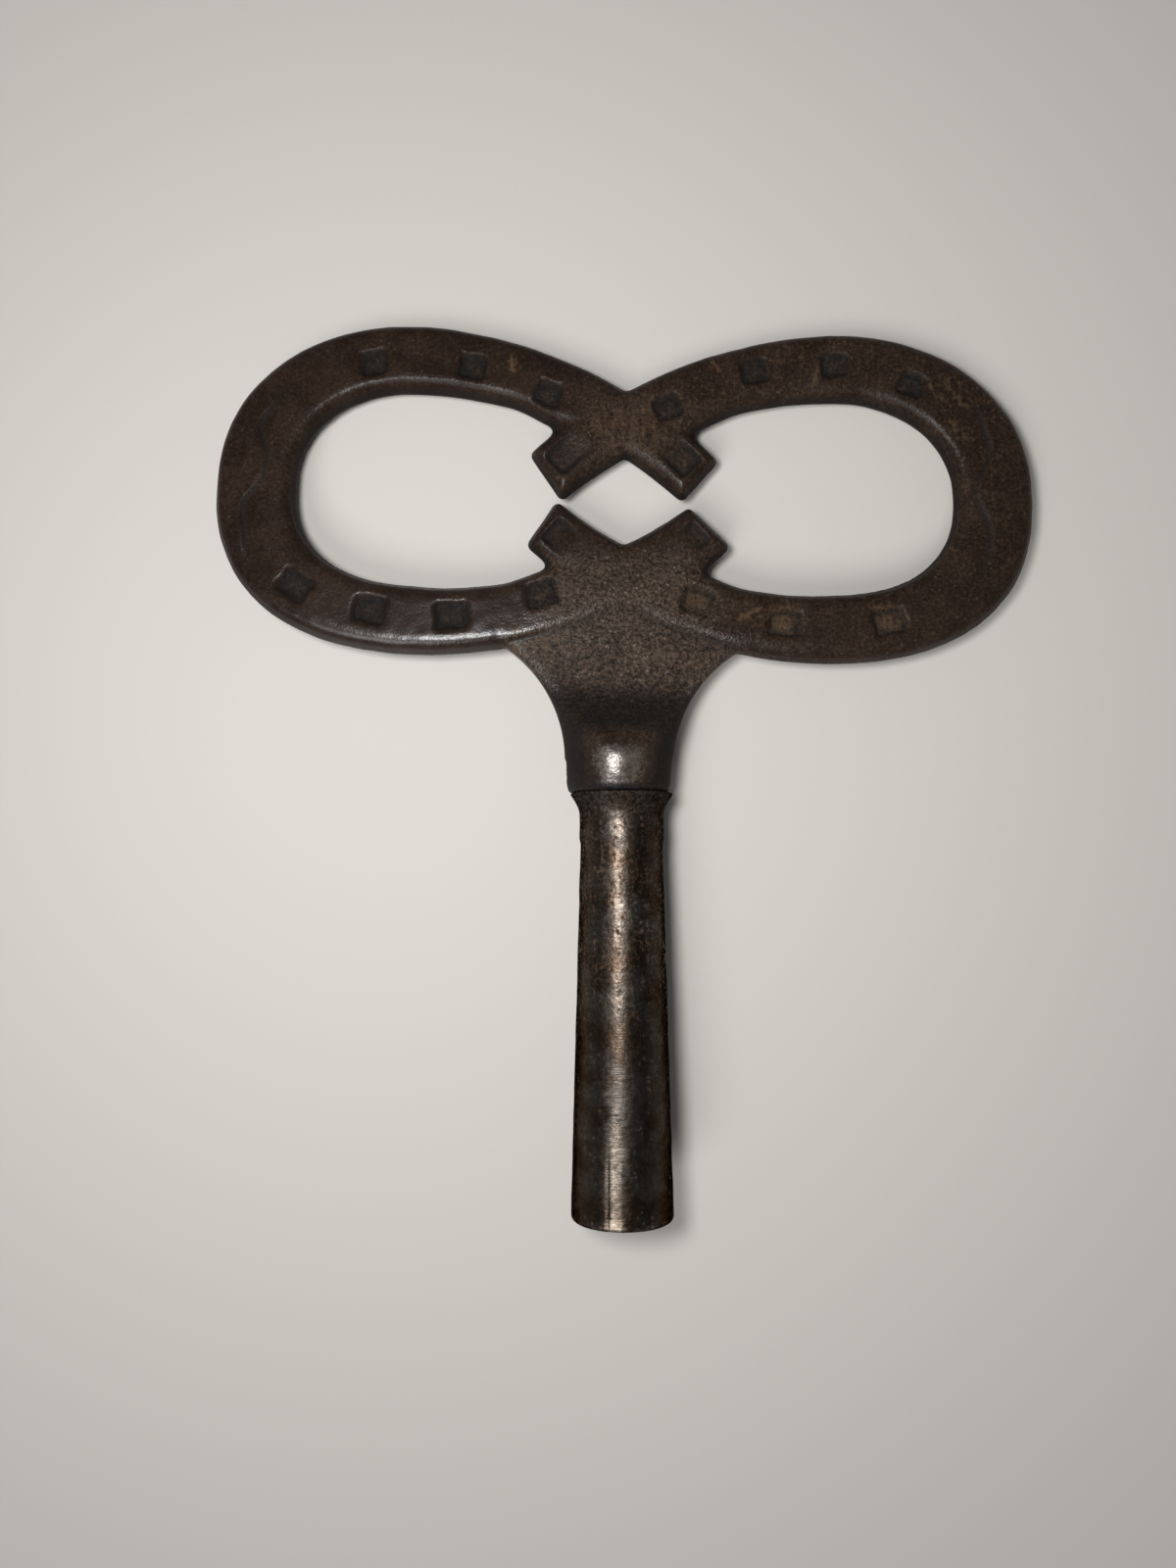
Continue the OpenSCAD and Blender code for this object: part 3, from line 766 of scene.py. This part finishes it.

# Where things lie on the skin itself: bend is how sharply it turns, out at an edge and in at a corner.
# The collar shines on top, and has painted shade at its sides and under its lip.
bend_blurs, bend_scale = 6, 3
bend = at_points(blurred(casting, bend_blurs) - casting) / cast_pitch ** 2 / bend_scale
from_middle = np.abs(points[:, 2])
keen = np.clip(bend, 0, 1) * (1 - spread(np.maximum(left_shoe.dull, right_shoe.dull)))
# Painted shade darkens the inner corners and the steep side walls.
hollow = np.clip(-bend, 0, 1) * spread(1 - neck_face)
wall_shade = ease(0.7, 0.2, np.abs(at_points(np.gradient(casting, cast_pitch, axis=2))))
wall_shade = wall_shade * ease(44, 47, points[:, 1])
lip_shade = spread(ease(0.75, 0.25, up))
on_collar = ease(37.5, 35.5, points[:, 1]) * ease(3.2, 4.1, from_middle) * (1 - lip_shade)
side_shade = spread(ease(9.5, 7, up)) * ease(3.9, 3.0, from_middle)
# sunk adds painted shade in the corners, on the side walls, at the collar's sides and under its lip.
bow = make_piece("bow_casting", points, faces, {
    "wear": 0.2 * keen - 0.25 * hollow + 0.45 * on_collar,
    "rust": spread(rust),
    "grain": spread(grain) - 0.18 * on_collar,
    "sunk": np.clip(spread(sunk) + 0.5 * hollow + 0.8 * wall_shade + np.maximum(0.95 * side_shade, lip_shade), 0, 1),
    "turned": 0,
    "metal": 0,
    "polish": np.clip(on_collar + keen * (0.12 + 0.5 * spread(rubbed)) + spread(glossy), 0, 1),
})
bow_tints = {
    "brown": (0.0268, 0.0165, 0.0116),
    "dark": (0.0165, 0.0095, 0.0067),
    "ochre": (0.075, 0.046, 0.025),
    "bare": (0.2, 0.165, 0.135),
    "soot_and_shade": (0.0095, 0.009, 0.0086),
    "dust": (0.052, 0.0365, 0.0265),
}
bow.data.materials.append(old_iron("bow_cast_iron", bow_tints, relief_depth=0.00012))
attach(bow, "root")
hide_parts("bow")

# Cross pin: a steel pin driven through the collar and the tenon from side to side.
# Its ends were hammered, then dressed off a little below the collar's skin.
pin_points, pin_dome, pin_edge, pin_tip_r = 40, 0.06, 0.12, 0.02
pin_turn = 2 * np.pi * np.arange(pin_points) / pin_points
pin_profile = [
    (0.0, pin_tip_r),
    (0.25 * pin_dome, 0.6 * pin_r),
    (pin_dome, pin_r - pin_edge),
    (pin_dome + pin_edge, pin_r),
]
pin_rings = [(pin_low[0] + inset, radius) for inset, radius in pin_profile]
pin_rings += [(pin_high[0] - inset, radius) for inset, radius in pin_profile[::-1]]
pin_round = np.stack([np.zeros(pin_points), np.cos(pin_turn), np.sin(pin_turn)], -1)
points, faces = ring_skin([(along, pin_y, 0) + radius * pin_round for along, radius in pin_rings])
at_end = ease(3.6, 3.9, np.abs(points[:, 0] - (pin_low[0] + pin_high[0]) / 2))
pin = make_piece("cross_pin_dressed", points, faces, {
    "wear": 0.25 * at_end,
    "rust": 0.12 * at_end,
    "grain": 0.3,
    "sunk": 0.2 * at_end,
    "turned": 0,
    "metal": 0,
    "polish": 0,
})
pin_tints = {
    "brown": (0.028, 0.018, 0.013),
    "dark": (0.012, 0.0085, 0.007),
    "ochre": (0.08, 0.042, 0.018),
    "bare": (0.18, 0.15, 0.13),
    "soot_and_shade": (0.008, 0.007, 0.006),
    "dust": (0.04, 0.0285, 0.0205),
}
pin.data.materials.append(old_iron("pin_darkened_steel", pin_tints, relief_depth=0.00006))
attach(pin, "root")
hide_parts("cross_pin")

# Floor: a plain pale table top. The key lies on its collar and on the far end of its bow,
# so the table slopes a little in the key's own frame and the mouth of the barrel is off it.
table_slope = np.radians(4.5)
table_up = Vector((0, -np.sin(table_slope), np.cos(table_slope)))
touch = min(point.co.dot(table_up) for piece in (barrel, bow) for point in piece.data.vertices)
floor_half = 4.0
floor_mesh = bpy.data.meshes.new("table_top")
corner_ways = ((-1, -1), (1, -1), (1, 1), (-1, 1))
corners = [(way_x * floor_half, way_y * floor_half, 0) for way_x, way_y in corner_ways]
floor_mesh.from_pydata(corners, [], [(0, 1, 2, 3)])
floor = bpy.data.objects.new("table_top", floor_mesh)
bpy.context.scene.collection.objects.link(floor)
floor.matrix_world = Matrix.Translation(table_up * touch) @ Matrix.Rotation(table_slope, 4, "X")
paint = bpy.data.materials.new("pale_table")
paint.use_nodes = True
paint_shader = paint.node_tree.nodes["Principled BSDF"]
paint_shader.inputs["Base Color"].default_value = (0.62, 0.59, 0.55, 1)
paint_shader.inputs["Roughness"].default_value = 0.7
floor.data.materials.append(paint)

# Camera: it looks straight down on the table from about ten centimetres, as one was held by hand.
# A small lamp beside the lens gives the sheen on the barrel. Broad light from beyond the mouth
# and a soft sky, paler near the horizon, fill the shadows.
lens_at = Vector((-2.65, 26.04, 96.7)) * MM
lens_turn = Matrix.Rotation(table_slope, 4, "X")
camera = bpy.data.objects.new("camera", bpy.data.cameras.new("camera"))
camera.data.lens = 28.125
camera.data.sensor_width = 36.0
camera.data.clip_start = 0.005
camera.matrix_world = Matrix.Translation(lens_at) @ lens_turn
bpy.context.scene.collection.objects.link(camera)
bpy.context.scene.camera = camera

lamp_beside_lens = Vector((-16.5, 7.6, 0)) * MM
lamp = bpy.data.objects.new("soft_lamp", bpy.data.lights.new("soft_lamp", "AREA"))
lamp.data.shape = "DISK"
lamp.data.size = 0.022
lamp.data.energy = 0.08
lamp.matrix_world = Matrix.Translation(lens_at + lens_turn @ lamp_beside_lens) @ lens_turn
lamp.visible_camera = False
bpy.context.scene.collection.objects.link(lamp)

window = bpy.data.objects.new("window_light", bpy.data.lights.new("window_light", "SUN"))
window.data.energy = 1.2
window.data.angle = np.radians(30)
window.rotation_euler = (np.radians(42), 0, np.radians(-28))
bpy.context.scene.collection.objects.link(window)

horizon_light, zenith_light, zenith_from = 0.36, 0.1, 0.5
sky = bpy.data.worlds.new("soft_sky")
sky.use_nodes = True
sky_tree = sky.node_tree
sky_light = sky_tree.nodes["Background"]
sky_light.inputs["Color"].default_value = (1, 0.985, 0.965, 1)
sky_way = add_node(sky_tree, "ShaderNodeTexCoord").outputs["Generated"]
sky_up = add_node(sky_tree, "ShaderNodeSeparateXYZ", {0: sky_way}).outputs["Z"]
sky_strength = soft_step(sky_tree, sky_up, 0.0, zenith_from, horizon_light, zenith_light)
sky_tree.links.new(sky_strength, sky_light.inputs["Strength"])
bpy.context.scene.world = sky
bpy.context.scene.view_settings.view_transform = "Standard"
